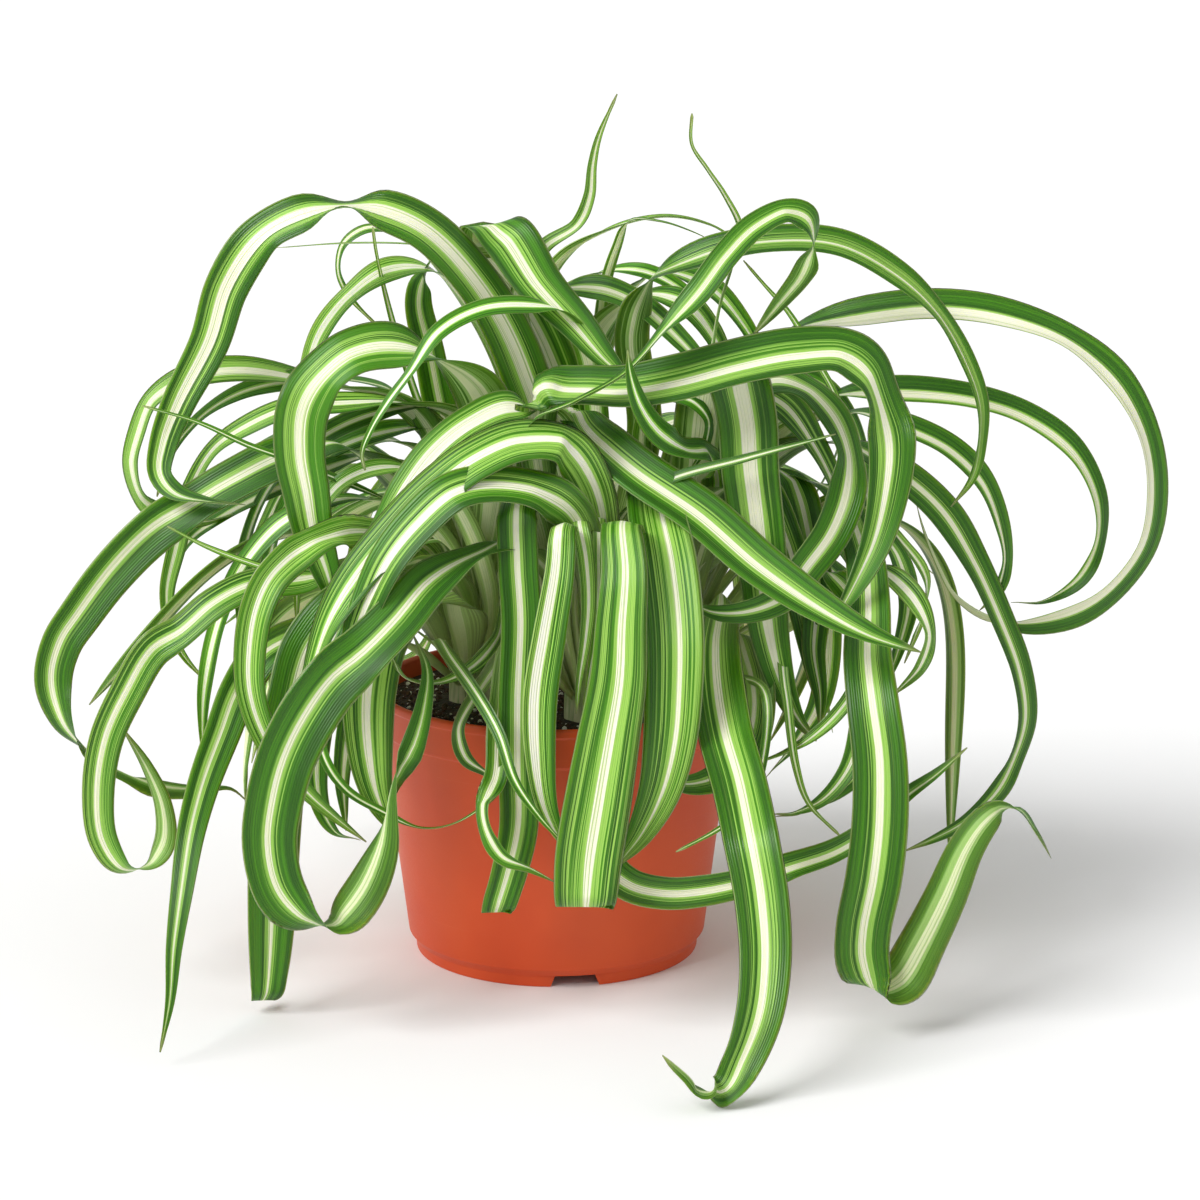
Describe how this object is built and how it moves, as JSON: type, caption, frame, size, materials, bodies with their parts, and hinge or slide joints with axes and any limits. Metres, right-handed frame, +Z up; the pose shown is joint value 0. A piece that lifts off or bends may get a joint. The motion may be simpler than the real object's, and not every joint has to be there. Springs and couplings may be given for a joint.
{
  "type": "potted spider plant",
  "caption": "Curly spider plant with long striped leaves that arch and coil out of a tapered plastic nursery pot filled with soil.",
  "frame": {"origin": "centre of the pot's underside, on the surface that the pot stands on", "axes": "+Z up; -Y towards the front, the side with the broad hanging leaves; +X to the right seen from the front"},
  "size_m": [0.3693, 0.3211, 0.2832],
  "materials": {
    "terracotta_plastic": "satin moulded plastic, terracotta orange",
    "soil": "rough dark potting soil with white perlite",
    "leaf": "waxy green leaf with a cream middle stripe"
  },
  "bodies": {
    "root": {"pot": "terracotta_plastic", "soil": "soil", "plant_front": "leaf", "plant_left": "leaf", "plant_right": "leaf", "plant_back": "leaf"}
  },
  "joints": []
}
